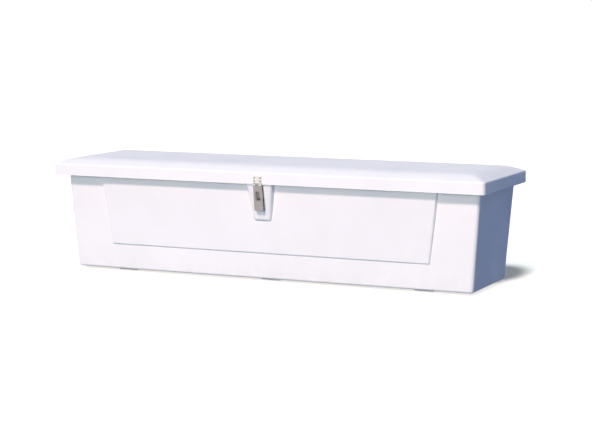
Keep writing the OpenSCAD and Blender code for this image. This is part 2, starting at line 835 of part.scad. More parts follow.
module stay_arm(side) {
    slot_half = arm_slot_w / 2;
    color(steel) on_side(side) translate([arm_x, pivot_y, pivot_z]) difference() {
        union() {
            rotate([0, 90, 0]) cylinder(d = arm_w, h = arm_t);
            translate([0, -arm_w / 2, -stay_open]) cube([arm_t, arm_w, stay_open]);
            translate([0, 0, -stay_open]) rotate([0, 90, 0]) cylinder(d = arm_w, h = arm_t);
        }
        translate([arm_t / 2, 0, 0]) rod_x(stay_stud_d + 2 * pin_gap, arm_t + 2 * cut);
        translate([-cut, -slot_half, -stay_open]) cube([arm_t + 2 * cut, arm_slot_w, stay_open - stay_shut]);
        for (z = [stay_shut, stay_open])
            translate([arm_t / 2, 0, -z]) rod_x(arm_slot_w, arm_t + 2 * cut);
    }
}

body_shell();
rim_seal();
skid(-1);  // skid_left
skid(0);  // skid_middle
skid(1);  // skid_right
skid_screws();
hinge_leaf(0);  // hinge_leaf_body
hinge_pin();
hinge_rivets_body();
hinge_strip(wall_t, -1);  // hinge_strip_body
staple_plate();
staple_screws();
staple_nuts();
staple_backing_plate();
staple_ring();
stay_pad(-1);  // stay_pad_left
stay_pad(1);  // stay_pad_right
stay_stud(-1);  // stay_stud_left
stay_stud(1);  // stay_stud_right
stay_stud_screws();
lid_shell();
lid_core();
lid_liner();
hinge_leaf(1);  // hinge_leaf_lid
hinge_rivets_lid();
hinge_strip(lid_t, 1);  // hinge_strip_lid
hasp_leaf();
hasp_pin();
hasp_screws();
hasp_nuts();
hasp_backing_plate();
hasp_strap();
stay_bracket(-1);  // stay_bracket_left
stay_bracket(1);  // stay_bracket_right
stay_pivot(-1);  // stay_pivot_left
stay_pivot(1);  // stay_pivot_right
stay_bracket_screws();
stay_arm(-1);  // stay_arm_left
stay_arm(1);  // stay_arm_right
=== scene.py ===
import json
import math

import bmesh
import bpy
from mathutils import Matrix, Vector

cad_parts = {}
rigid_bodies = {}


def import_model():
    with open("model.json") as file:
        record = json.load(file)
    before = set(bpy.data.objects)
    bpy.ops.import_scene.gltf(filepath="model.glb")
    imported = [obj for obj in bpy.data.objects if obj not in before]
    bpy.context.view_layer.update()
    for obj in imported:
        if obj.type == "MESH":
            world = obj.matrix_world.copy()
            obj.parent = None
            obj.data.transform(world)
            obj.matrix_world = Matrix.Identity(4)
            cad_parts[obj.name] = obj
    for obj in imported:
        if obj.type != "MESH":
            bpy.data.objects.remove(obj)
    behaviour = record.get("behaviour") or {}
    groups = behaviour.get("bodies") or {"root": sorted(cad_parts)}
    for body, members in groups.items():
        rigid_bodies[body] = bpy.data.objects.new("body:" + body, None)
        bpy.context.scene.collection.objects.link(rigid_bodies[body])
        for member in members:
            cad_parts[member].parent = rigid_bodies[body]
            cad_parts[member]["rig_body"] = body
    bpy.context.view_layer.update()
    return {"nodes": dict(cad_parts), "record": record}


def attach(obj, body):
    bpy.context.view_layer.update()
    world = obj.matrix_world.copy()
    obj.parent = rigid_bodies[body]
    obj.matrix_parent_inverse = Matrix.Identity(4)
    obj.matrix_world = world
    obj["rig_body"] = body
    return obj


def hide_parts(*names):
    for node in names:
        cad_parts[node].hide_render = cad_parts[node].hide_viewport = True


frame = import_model()
cadNodes = frame["nodes"]
scene = bpy.context.scene


# small helpers for picking and shaping
limits = {  # lengths in metres, angles in degrees
    "same": 1e-5, "apart": 1e-4, "facing": 0.9, "flat": 0.5, "smooth": 35, "sharp": 50, "boreSides": 32}


def clearSelection():
    bpy.ops.object.select_all(action="DESELECT")


def takeUp(piece):
    clearSelection()
    piece.select_set(True)
    bpy.context.view_layer.objects.active = piece


def openEdit(piece):
    takeUp(piece)
    bpy.ops.object.mode_set(mode="EDIT")


def closeEdit():
    bpy.ops.object.mode_set(mode="OBJECT")


def pick(kind, test):
    mesh = bpy.context.edit_object.data
    bpy.ops.mesh.select_mode(type=kind)
    bpy.ops.mesh.select_all(action="DESELECT")
    shape = bmesh.from_edit_mesh(mesh)
    for part in {"VERT": shape.verts, "EDGE": shape.edges, "FACE": shape.faces}[kind]:
        if test(part):
            part.select_set(True)
    bmesh.update_edit_mesh(mesh)


def roundEdges(test, width, segments=2, how="OFFSET"):
    pick("EDGE", test)
    bpy.ops.mesh.bevel(offset=width, offset_type=how, segments=segments, clamp_overlap=True)


def level(edge, height):  # both ends at this height
    return all(abs(v.co.z - height) < limits["same"] for v in edge.verts)


def sunk(edge, depth):  # both ends in the face that lies inside the wall
    return all(abs(v.co.y - depth) < limits["apart"] for v in edge.verts)


def upright(edge):
    return abs(edge.verts[0].co.z - edge.verts[1].co.z) > limits["apart"]


def sharp(edge):  # a corner that stands out
    return edge.is_manifold and edge.calc_face_angle_signed() > math.radians(limits["sharp"])


def looksUp(face):
    return face.normal.z > limits["facing"]


def looksDown(face):
    return face.normal.z < -limits["facing"]


def addBlock(name, low, high):
    clearSelection()
    middle = [(a + b) / 2 for a, b in zip(low, high)]
    bpy.ops.mesh.primitive_cube_add(size=1, location=middle)
    block = bpy.context.object
    block.name = block.data.name = name
    block.scale = [b - a for a, b in zip(low, high)]
    bpy.ops.object.transform_apply(location=True, rotation=True, scale=True)
    return block


def addPlate(name, half, middleY, low, high, corner, segments=8):
    plate = addBlock(name, (-half[0], middleY - half[1], low), (half[0], middleY + half[1], high))
    openEdit(plate)
    roundEdges(upright, corner, segments)
    closeEdit()
    return plate


def addWedge(name, corners):  # corners: half width, y and z of the four long edges
    block = addBlock(name, (-1, -1, -1), (1, 1, 1))
    ends = {"frontFoot": (-1, -1), "frontTop": (-1, 1), "backFoot": (1, -1), "backTop": (1, 1)}
    groups = {
        key: {v.index for v in block.data.vertices if v.co.y * y > 0 and v.co.z * z > 0}
        for key, (y, z) in ends.items()
    }
    openEdit(block)
    for key, (half, y, z) in corners.items():
        pick("VERT", lambda v: v.index in groups[key])
        bpy.ops.transform.resize(value=(half, 1, 1), center_override=(0, 0, 0))
        bpy.ops.transform.translate(value=(0, y - ends[key][0], z - ends[key][1]))
    closeEdit()
    return block


def addCopy(name, mesh):  # with a mesh of its own
    piece = bpy.data.objects.new(name, mesh.copy())
    scene.collection.objects.link(piece)
    return piece


def combine(base, other, how="UNION"):
    takeUp(base)
    join = base.modifiers.new("combine", "BOOLEAN")
    join.operation, join.solver, join.object = how, "EXACT", other
    bpy.ops.object.modifier_apply(modifier=join.name)
    bpy.data.objects.remove(other)


def tidyFaces(piece, near=limits["same"]):
    openEdit(piece)
    bpy.ops.mesh.select_all(action="SELECT")
    bpy.ops.mesh.remove_doubles(threshold=near)
    bpy.ops.mesh.dissolve_limited(angle_limit=math.radians(limits["flat"]))
    bpy.ops.mesh.select_all(action="SELECT")
    bpy.ops.mesh.normals_make_consistent(inside=False)
    closeEdit()


def thicken(piece, wall):  # inwards, and the inner face takes the second look
    takeUp(piece)
    skin = piece.modifiers.new("wall", "SOLIDIFY")
    skin.thickness, skin.offset = wall, -1
    skin.use_even_offset, skin.use_quality_normals = True, True
    skin.material_offset = 1
    bpy.ops.object.modifier_apply(modifier=skin.name)


def smoothOff(piece, angle=limits["smooth"]):
    takeUp(piece)
    bpy.ops.object.shade_smooth_by_angle(angle=math.radians(angle))
    even = piece.modifiers.new("evenNormals", "WEIGHTED_NORMAL")
    even.keep_sharp = True
    bpy.ops.object.modifier_apply(modifier=even.name)


def boreUpright(piece, places, radius, low, high):
    for x, y in places:
        clearSelection()
        bpy.ops.mesh.primitive_cylinder_add(
            vertices=limits["boreSides"], radius=radius, depth=high - low, location=(x, y, (low + high) / 2))
        bit = bpy.context.object
        bpy.ops.object.transform_apply(location=True, rotation=True, scale=True)
        combine(piece, bit, "DIFFERENCE")


# shader helpers

def feed(tree, node, sockets):  # another node's output is linked, a plain value is set
    for name, value in sockets.items():
        if isinstance(value, bpy.types.NodeSocket):
            tree.links.new(value, node.inputs[name])
        else:
            node.inputs[name].default_value = value


def addNode(tree, kind, sockets=None, **settings):
    node = tree.nodes.new("ShaderNode" + kind)
    for name, value in settings.items():
        setattr(node, name, value)
    feed(tree, node, sockets or {})
    return node


def mathOf(tree, how, *values):
    node = addNode(tree, "Math", dict(enumerate(values)), operation=how)
    return node.outputs["Value"]


def vectorOf(tree, how, *values):
    node = addNode(tree, "VectorMath", dict(enumerate(values)), operation=how)
    return node.outputs["Value" if how == "LENGTH" else "Vector"]


def newGroup(name, inputs):  # every group here puts out one mask
    group = bpy.data.node_groups.new(name, "ShaderNodeTree")
    for label, kind, value in inputs:
        socket = group.interface.new_socket(label, in_out="INPUT", socket_type="NodeSocket" + kind)
        socket.default_value = value
    group.interface.new_socket("Mask", in_out="OUTPUT", socket_type="NodeSocketFloat")
    return group, group.nodes.new("NodeGroupInput"), group.nodes.new("NodeGroupOutput")


def maskFrom(tree, group, sockets):
    node = addNode(tree, "Group", node_tree=group)
    feed(tree, node, sockets)
    return node.outputs["Mask"]


# patchy noise drawn out along one direction
stretchedNoise, fed, out = newGroup(
    "stretchedNoise",
    [("Stretch", "Vector", (1, 1, 1)), ("Scale", "Float", 10), ("Detail", "Float", 3),
     ("Low", "Float", 0.35), ("High", "Float", 0.65)])
place = addNode(stretchedNoise, "TexCoord")
drawn = addNode(stretchedNoise, "Mapping",
                {"Vector": place.outputs["Object"], "Scale": fed.outputs["Stretch"]})
cloud = addNode(stretchedNoise, "TexNoise",
                {"Vector": drawn.outputs["Vector"], "Scale": fed.outputs["Scale"],
                 "Detail": fed.outputs["Detail"], "Roughness": 0.6})
ranged = addNode(stretchedNoise, "MapRange",
                 {"Value": cloud.outputs["Fac"], "From Min": fed.outputs["Low"],
                  "From Max": fed.outputs["High"]})
stretchedNoise.links.new(ranged.outputs["Result"], out.inputs["Mask"])

# splash film that is heaviest at the ground and breaks up as it rises
splashFilm, fed, out = newGroup("splashFilm", [("Height", "Float", 0.12), ("Amount", "Float", 0.5)])
place = addNode(splashFilm, "TexCoord")
axes = addNode(splashFilm, "SeparateXYZ", {"Vector": place.outputs["Object"]})
fade = addNode(splashFilm, "MapRange",
               {"Value": axes.outputs["Z"], "From Min": 0.0, "From Max": fed.outputs["Height"],
                "To Min": 1.0, "To Max": 0.0}, interpolation_type="SMOOTHSTEP")
patches = maskFrom(splashFilm, stretchedNoise,
                   {"Stretch": (1, 1, 0.5), "Scale": 22.0, "Detail": 6.0, "Low": 0.3, "High": 0.75})
broken = mathOf(splashFilm, "MULTIPLY", fade.outputs["Result"], patches)
scaled = mathOf(splashFilm, "MULTIPLY", broken, fed.outputs["Amount"])
splashFilm.links.new(scaled, out.inputs["Mask"])

# dust that lies on faces looking up
settledDust, fed, out = newGroup("settledDust", [("Amount", "Float", 0.3)])
lie = addNode(settledDust, "TexCoord")
axes = addNode(settledDust, "SeparateXYZ", {"Vector": lie.outputs["Normal"]})
facing = addNode(settledDust, "MapRange",
                 {"Value": axes.outputs["Z"], "From Min": 0.55, "From Max": 1.0})
patches = maskFrom(settledDust, stretchedNoise, {"Scale": 9.0, "Detail": 7.0, "Low": 0.35, "High": 0.8})
broken = mathOf(settledDust, "MULTIPLY", facing.outputs["Result"], patches)
scaled = mathOf(settledDust, "MULTIPLY", broken, fed.outputs["Amount"])
settledDust.links.new(scaled, out.inputs["Mask"])


def newLook(name):
    look = bpy.data.materials.new(name)
    look.use_nodes = True
    tree = look.node_tree
    return look, tree, tree.nodes["Principled BSDF"]


def blendColours(tree, factor, first, second):
    mix = addNode(tree, "Mix", {"Factor": factor}, data_type="RGBA")
    for index, colour in ((6, first), (7, second)):  # the node's colour inputs, its colour output is 2
        if not isinstance(colour, bpy.types.NodeSocket):
            colour = (*colour, 1)
        feed(tree, mix, {index: colour})
    return mix.outputs[2]


def spread(tree, value, low, high):
    ranged = addNode(tree, "MapRange", {"Value": value, "To Min": low, "To Max": high})
    return ranged.outputs["Result"]


def raiseBy(tree, height, distance, under=None):
    bump = addNode(tree, "Bump", {"Height": height, "Distance": distance, "Strength": 1.0})
    if under is not None:
        tree.links.new(under, bump.inputs["Normal"])
    return bump.outputs["Normal"]


# white gelcoat: slow ripples of a hand-laid moulding, a fine peel, splash film and dust
gelcoat = {"clean": (0.90, 0.895, 0.90), "chalked": (0.865, 0.865, 0.86), "film": (0.62, 0.60, 0.55),
           "dust": (0.80, 0.79, 0.765), "filmHeight": 0.11, "filmAmount": 0.2, "dustAmount": 0.22,
           "rough": (0.52, 0.66), "shine": 0.2, "ripple": 0.0016, "peel": 0.00003}
whiteGelcoat, tree, shader = newLook("whiteGelcoat")
chalk = maskFrom(tree, stretchedNoise, {"Scale": 3.5, "Detail": 5.0, "Low": 0.4, "High": 0.7})
film = maskFrom(tree, splashFilm, {"Height": gelcoat["filmHeight"], "Amount": gelcoat["filmAmount"]})
dust = maskFrom(tree, settledDust, {"Amount": gelcoat["dustAmount"]})
scuffs = maskFrom(tree, stretchedNoise,
                  {"Stretch": (0.15, 1, 1), "Scale": 160.0, "Detail": 2.0, "Low": 0.68, "High": 0.74})
ripple = maskFrom(tree, stretchedNoise,
                  {"Stretch": (1, 1, 0.7), "Scale": 7.0, "Detail": 1.0, "Low": 0.0, "High": 1.0})
peel = maskFrom(tree, stretchedNoise, {"Scale": 420.0, "Detail": 1.0, "Low": 0.0, "High": 1.0})
colour = blendColours(tree, chalk, gelcoat["clean"], gelcoat["chalked"])
colour = blendColours(tree, dust, colour, gelcoat["dust"])
colour = blendColours(tree, film, colour, gelcoat["film"])
dull = mathOf(tree, "MAXIMUM", mathOf(tree, "MAXIMUM", chalk, scuffs), film)
rippled = raiseBy(tree, ripple, gelcoat["ripple"])
feed(tree, shader, {
    "Base Color": colour, "Roughness": spread(tree, dull, *gelcoat["rough"]),
    "Normal": raiseBy(tree, peel, gelcoat["peel"], rippled), "Specular IOR Level": gelcoat["shine"]})

# brushed-on coat over chopped strand inside the tub and the lid
coat = {"hollow": (0.70, 0.70, 0.68), "strand": (0.80, 0.80, 0.785), "pool": (0.83, 0.83, 0.82),
        "rough": (0.62, 0.38), "strandHeight": 0.0005, "poolHeight": 0.0006}
roughCoat, tree, shader = newLook("roughCoat")
along = maskFrom(tree, stretchedNoise,
                 {"Stretch": (0.12, 1, 1), "Scale": 170.0, "Detail": 2.0, "Low": 0.4, "High": 0.62})
across = maskFrom(tree, stretchedNoise,
                  {"Stretch": (1, 0.14, 0.14), "Scale": 150.0, "Detail": 2.0, "Low": 0.4, "High": 0.62})
pools = maskFrom(tree, stretchedNoise, {"Scale": 14.0, "Detail": 4.0, "Low": 0.35, "High": 0.7})
strands = mathOf(tree, "MAXIMUM", along, across)
colour = blendColours(tree, strands, coat["hollow"], coat["strand"])
matted = raiseBy(tree, strands, coat["strandHeight"])
feed(tree, shader, {
    "Base Color": blendColours(tree, pools, colour, coat["pool"]),
    "Roughness": spread(tree, pools, *coat["rough"]),
    "Normal": raiseBy(tree, pools, coat["poolHeight"], matted)})

# painted liner board
liner = {"fresh": (0.78, 0.78, 0.77), "faded": (0.72, 0.715, 0.70), "rough": (0.42, 0.6), "stipple": 0.00015}
linerPaint, tree, shader = newLook("linerPaint")
roller = maskFrom(tree, stretchedNoise, {"Scale": 260.0, "Detail": 3.0, "Low": 0.2, "High": 0.8})
patches = maskFrom(tree, stretchedNoise, {"Scale": 5.0, "Detail": 4.0, "Low": 0.35, "High": 0.7})
feed(tree, shader, {
    "Base Color": blendColours(tree, patches, liner["fresh"], liner["faded"]),
    "Roughness": spread(tree, roller, *liner["rough"]),
    "Normal": raiseBy(tree, roller, liner["stipple"])})

# stainless steel with brush marks and faint tea stains, in copies of different brightness: the copy for the
# strap and small parts is set darker, a painted shade, and the copy for the hasp leaf lighter, a painted
# shine
steel = {"tea": (0.33, 0.25, 0.18), "rough": (0.26, 0.42), "brushHeight": 0.00003,
         "upright": ((1, 1, 0.04), (0.235, 0.23, 0.245), (0.33, 0.325, 0.335)),  # stretch, dark, light
         "lengthwise": ((0.03, 1, 1), (0.30, 0.30, 0.31), (0.41, 0.41, 0.42)),
         "paintedShine": ((1, 1, 0.2), (0.51, 0.505, 0.52), (0.58, 0.575, 0.585))}


def brushedSteel(name, stretch, dark, light):
    look, tree, shader = newLook(name)
    brush = maskFrom(tree, stretchedNoise,
                     {"Stretch": stretch, "Scale": 900.0, "Detail": 3.0, "Low": 0.25, "High": 0.75})
    smear = maskFrom(tree, stretchedNoise, {"Scale": 55.0, "Detail": 4.0, "Low": 0.4, "High": 0.7})
    tea = maskFrom(tree, stretchedNoise, {"Scale": 240.0, "Detail": 4.0, "Low": 0.66, "High": 0.8})
    colour = blendColours(tree, brush, dark, light)
    feed(tree, shader, {
        "Base Color": blendColours(tree, tea, colour, steel["tea"]),
        "Roughness": spread(tree, smear, *steel["rough"]),
        "Normal": raiseBy(tree, brush, steel["brushHeight"]), "Metallic": 1.0})
    return look


# the upright copy is painted darker as shade, for the dim look of the strap
steelUprightPaintedShade = brushedSteel("steelBrushedUprightPaintedShade", *steel["upright"])
steelLengthwise = brushedSteel("steelBrushedLengthwise", *steel["lengthwise"])
# the hasp leaf's copy is painted lighter, a painted shine on the same stainless
steelPaintedShine = brushedSteel("steelPaintedShine", *steel["paintedShine"])

# mill-finish alloy of the rivets and their washer strips
alloy = {"dark": (0.57, 0.58, 0.59), "light": (0.66, 0.665, 0.67), "oxide": (0.50, 0.50, 0.50),
         "rough": (0.34, 0.55), "rollHeight": 0.00003}
plainAlloy, tree, shader = newLook("plainAlloy")
rolled = maskFrom(tree, stretchedNoise,
                  {"Stretch": (0.05, 1, 1), "Scale": 500.0, "Detail": 3.0, "Low": 0.3, "High": 0.7})
oxide = maskFrom(tree, stretchedNoise, {"Scale": 90.0, "Detail": 5.0, "Low": 0.45, "High": 0.7})
colour = blendColours(tree, rolled, alloy["dark"], alloy["light"])
feed(tree, shader, {
    "Base Color": blendColours(tree, oxide, colour, alloy["oxide"]),
    "Roughness": spread(tree, oxide, *alloy["rough"]),
    "Normal": raiseBy(tree, rolled, alloy["rollHeight"]), "Metallic": 1.0})

# closed-cell foam of the rim seal
foam = {"new": (0.018, 0.018, 0.019), "worn": (0.045, 0.045, 0.046), "rough": (0.78, 0.92),
        "cells": 900.0, "cellHeight": 0.0003}
sealFoam, tree, shader = newLook("sealFoam")
place = addNode(tree, "TexCoord")
cells = addNode(tree, "TexVoronoi", {"Vector": place.outputs["Object"], "Scale": foam["cells"]})
worn = maskFrom(tree, stretchedNoise, {"Scale": 40.0, "Detail": 4.0, "Low": 0.4, "High": 0.75})
feed(tree, shader, {
    "Base Color": blendColours(tree, worn, foam["new"], foam["worn"]),
    "Roughness": spread(tree, worn, *foam["rough"]),
    "Normal": raiseBy(tree, cells.outputs["Distance"], foam["cellHeight"])})

# resin-sealed plywood of the lid core and the stay pads
ply = {"plain": (0.47, 0.31, 0.165), "figured": (0.56, 0.39, 0.22), "grain": (0.33, 0.205, 0.105),
       "grainShare": 0.55, "rough": (0.36, 0.5), "grainHeight": 0.0002}
resinPly, tree, shader = newLook("resinPly")
grain = maskFrom(tree, stretchedNoise,
                 {"Stretch": (0.05, 1, 1), "Scale": 130.0, "Detail": 5.0, "Low": 0.3, "High": 0.7})
figure = maskFrom(tree, stretchedNoise,
                  {"Stretch": (0.12, 1, 1), "Scale": 16.0, "Detail": 3.0, "Low": 0.35, "High": 0.65})
colour = blendColours(tree, figure, ply["plain"], ply["figured"])
darkGrain = mathOf(tree, "MULTIPLY", grain, ply["grainShare"])
feed(tree, shader, {
    "Base Color": blendColours(tree, darkGrain, colour, ply["grain"]),
    "Roughness": spread(tree, grain, *ply["rough"]),
    "Normal": raiseBy(tree, grain, ply["grainHeight"])})

# hard white runners the box stands on, scraped and a little dirty
hardWhite = {"clean": (0.78, 0.785, 0.785), "scraped": (0.66, 0.66, 0.65), "film": (0.60, 0.58, 0.54),
             "filmHeight": 0.03, "filmAmount": 0.5, "rough": (0.45, 0.65), "speckle": 0.00012}
whiteRunner, tree, shader = newLook("whiteRunner")
speckle = maskFrom(tree, stretchedNoise, {"Scale": 700.0, "Detail": 2.0, "Low": 0.35, "High": 0.65})
scrapes = maskFrom(tree, stretchedNoise,
                   {"Stretch": (1, 0.08, 1), "Scale": 120.0, "Detail": 3.0, "Low": 0.55, "High": 0.7})
film = maskFrom(tree, splashFilm, {"Height": hardWhite["filmHeight"], "Amount": hardWhite["filmAmount"]})
colour = blendColours(tree, scrapes, hardWhite["clean"], hardWhite["scraped"])
feed(tree, shader, {
    "Base Color": blendColours(tree, film, colour, hardWhite["film"]),
    "Roughness": spread(tree, speckle, *hardWhite["rough"]),
    "Normal": raiseBy(tree, speckle, hardWhite["speckle"])})
print("looks mixed:", len(bpy.data.materials))


# box tub: tapered moulding with the front panel, hasp boss and hinge ledge pressed out of its walls
tubSize = {"top": 0.4225, "middle": 0.0065, "rim": (0.8824, 0.2095), "rimTop": 0.4249,
           "foot": (0.8494, 0.1925), "ground": 0.010, "corner": 0.014, "cornerSteps": 7,
           "footRound": 0.009, "footSteps": 5, "root": 0.0025, "rootSteps": 3, "rootAngle": 15,
           "wall": 0.005, "floorLift": 0.001, "near": 4e-5}
grow = (tubSize["top"] - tubSize["ground"]) / (tubSize["rimTop"] - tubSize["ground"])
topHalf = [low + (high - low) * grow for low, high in zip(tubSize["foot"], tubSize["rim"])]
middle = tubSize["middle"]
tub = addWedge("tub", {
    "frontFoot": (tubSize["foot"][0], middle - tubSize["foot"][1], tubSize["ground"]),
    "frontTop": (topHalf[0], middle - topHalf[1], tubSize["top"]),
    "backFoot": (tubSize["foot"][0], middle + tubSize["foot"][1], tubSize["ground"]),
    "backTop": (topHalf[0], middle + topHalf[1], tubSize["top"])})
openEdit(tub)
roundEdges(upright, tubSize["corner"], tubSize["cornerSteps"])
roundEdges(lambda e: level(e, tubSize["ground"]), tubSize["footRound"], tubSize["footSteps"])
closeEdit()

panelSize = {"corners": {"frontFoot": (0.6794, -0.1972, 0.112), "frontTop": (0.7197, -0.2190, 0.4225),
                         "backFoot": (0.6866, -0.180, 0.1090), "backTop": (0.7282, -0.180, 0.4225)},
             "sunk": -0.180, "round": 0.0055, "steps": 4}
bossSize = {"corners": {"frontFoot": (0.034, -0.2160, 0.2432), "frontTop": (0.054, -0.2457, 0.3892),
                        "backFoot": (0.0413, -0.185, 0.2359), "backTop": (0.0606, -0.185, 0.3892)},
            "sunk": -0.185, "round": 0.009, "steps": 5}
ledgeSize = {"corners": {"frontFoot": (0.8384, 0.195, 0.2882), "frontTop": (0.8384, 0.195, 0.3812),
                         "backFoot": (0.8384, 0.254, 0.3472), "backTop": (0.8384, 0.254, 0.3812)},
             "sunk": 0.195, "round": 0.006, "steps": 4}
for name, size in (("panel", panelSize), ("boss", bossSize), ("ledge", ledgeSize)):
    bulge = addWedge(name, size["corners"])
    openEdit(bulge)
    roundEdges(lambda e: not sunk(e, size["sunk"]) and not level(e, tubSize["top"]),
               size["round"], size["steps"])
    closeEdit()
    combine(tub, bulge)
tidyFaces(tub, tubSize["near"])
openEdit(tub)
roundEdges(lambda e: e.is_manifold and e.calc_face_angle_signed() < -math.radians(tubSize["rootAngle"]),
           tubSize["root"], tubSize["rootSteps"])
pick("FACE", lambda f: looksUp(f) and f.calc_center_median().z > tubSize["top"] - limits["apart"])
bpy.ops.mesh.delete(type="FACE")
closeEdit()
for look in (whiteGelcoat, roughCoat):
    tub.data.materials.append(look)
thicken(tub, tubSize["wall"])

# rim flange, a flat frame over the walls
flangeSize = {"outer": (0.9004, 0.2275), "inner": (0.8768, 0.2039), "low": 0.4199, "high": 0.4249,
              "outerCorner": 0.032, "innerCorner": 0.0085, "cutPast": 0.02, "soft": 0.0012}
flange = addPlate("flange", flangeSize["outer"], middle, flangeSize["low"], flangeSize["high"],
                  flangeSize["outerCorner"])
mouth = addPlate("mouth", flangeSize["inner"], middle, flangeSize["low"] - flangeSize["cutPast"],
                 flangeSize["high"] + flangeSize["cutPast"], flangeSize["innerCorner"])
combine(flange, mouth, "DIFFERENCE")
flange.data.materials.append(whiteGelcoat)
combine(tub, flange)

# the floor is made a little thicker than the walls, and takes the deck bolts
boltSize = {"x": 0.6404, "y": 0.115, "radius": 0.0055,
            "throughFloor": (0.0, 0.03), "throughRunner": (-0.01, 0.02)}
boltHoles = [(x, middle + y) for x in (-boltSize["x"], boltSize["x"])
             for y in (-boltSize["y"], boltSize["y"])]
openEdit(tub)
pick("VERT", lambda v: abs(v.co.z - tubSize["ground"] - tubSize["wall"]) < limits["apart"])
bpy.ops.transform.translate(value=(0, 0, tubSize["floorLift"]))
closeEdit()
boreUpright(tub, boltHoles, boltSize["radius"], *boltSize["throughFloor"])
tidyFaces(tub, tubSize["near"])
openEdit(tub)
roundEdges(lambda e: sharp(e) and min(v.co.z for v in e.verts) > flangeSize["low"] - limits["apart"],
           flangeSize["soft"])
closeEdit()
smoothOff(tub)
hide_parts("body_shell")
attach(tub, "body")
print("tub:", len(tub.data.polygons), "faces")


# lid: deep lip and a shallow crown with sloping shoulders
lidSize = {"half": (0.9144, 0.254), "foot": 0.3872, "lipTop": 0.4332, "top": 0.4572, "crownInset": 0.062,
           "crownBend": 0.034, "crownSteps": 8, "corner": 0.016, "cornerSteps": 8, "lipRound": 0.005,
           "lipSteps": 5, "wall": 0.005, "soft": 0.0012}
lid = addBlock("lid", (-lidSize["half"][0], -lidSize["half"][1], lidSize["foot"]),
               (lidSize["half"][0], lidSize["half"][1], lidSize["lipTop"]))
openEdit(lid)
pick("FACE", looksUp)
# the shoulder goes up straight, then bends over into the flat top in rings
crownRise = lidSize["top"] - lidSize["lipTop"]
crownSlope = math.atan2(crownRise, lidSize["crownInset"])
bendRadius = lidSize["crownBend"] / math.tan(crownSlope / 2)
ringIn, ringUp = 0.0, 0.0
for step in range(lidSize["crownSteps"] + 1):
    turn = crownSlope * (1 - step / lidSize["crownSteps"])
    nextIn = lidSize["crownInset"] + lidSize["crownBend"] - bendRadius * math.sin(turn)
    nextUp = crownRise - bendRadius * (1 - math.cos(turn))
    bpy.ops.mesh.inset(thickness=nextIn - ringIn, depth=nextUp - ringUp)
    ringIn, ringUp = nextIn, nextUp
roundEdges(upright, lidSize["corner"], lidSize["cornerSteps"], "ABSOLUTE")
roundEdges(lambda e: level(e, lidSize["lipTop"]), lidSize["lipRound"], lidSize["lipSteps"])
pick("FACE", looksDown)
bpy.ops.mesh.delete(type="FACE")
closeEdit()
for look in (whiteGelcoat, roughCoat):
    lid.data.materials.append(look)
thicken(lid, lidSize["wall"])
tidyFaces(lid)
openEdit(lid)
roundEdges(lambda e: sharp(e) and level(e, lidSize["foot"]), lidSize["soft"])
closeEdit()
smoothOff(lid)
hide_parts("lid_shell")
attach(lid, "lid")
print("lid:", len(lid.data.polygons), "faces")


# rim seal: one strip round the flange with a rounded back
sealSize = {"half": (0.8964, 0.2235), "low": 0.4249, "high": 0.4309, "corner": 0.028, "width": 0.014,
            "round": 0.0025, "roundSteps": 4}
seal = addPlate("seal", sealSize["half"], middle, sealSize["low"], sealSize["high"], sealSize["corner"])
openEdit(seal)
pick("FACE", lambda f: looksUp(f) or looksDown(f))
bpy.ops.mesh.inset(thickness=sealSize["width"], depth=0)
bpy.ops.mesh.bridge_edge_loops()
roundEdges(lambda e: sharp(e) and level(e, sealSize["high"]), sealSize["round"], sealSize["roundSteps"])
closeEdit()
smoothOff(seal)
seal.data.materials.append(sealFoam)
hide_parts("rim_seal")
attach(seal, "body")


# runners: one is shaped, its copies get their own meshes
runnerSize = {"half": (0.040, 0.1525), "high": 0.010, "corner": 0.006, "cornerSteps": 5, "chamfer": 0.0025}
runnerPlaces = {"skid_left": -boltSize["x"], "skid_middle": 0.0, "skid_right": boltSize["x"]}
firstRunner = addPlate("runner", runnerSize["half"], middle, 0.0, runnerSize["high"],
                       runnerSize["corner"], runnerSize["cornerSteps"])
openEdit(firstRunner)
roundEdges(lambda e: level(e, 0.0), runnerSize["chamfer"])
closeEdit()
firstRunner.data.materials.append(whiteRunner)
for node, x in runnerPlaces.items():
    runner = addCopy(node + "_runner", firstRunner.data)
    openEdit(runner)
    bpy.ops.mesh.select_all(action="SELECT")
    bpy.ops.transform.translate(value=(x, 0, 0))
    closeEdit()
    if x:  # the middle one has no bolts
        ownHoles = [hole for hole in boltHoles if hole[0] * x > 0]
        boreUpright(runner, ownHoles, boltSize["radius"], *boltSize["throughRunner"])
    smoothOff(runner)
    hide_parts(node)
    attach(runner, "body")
bpy.data.objects.remove(firstRunner)
print("seal and runners shaped")


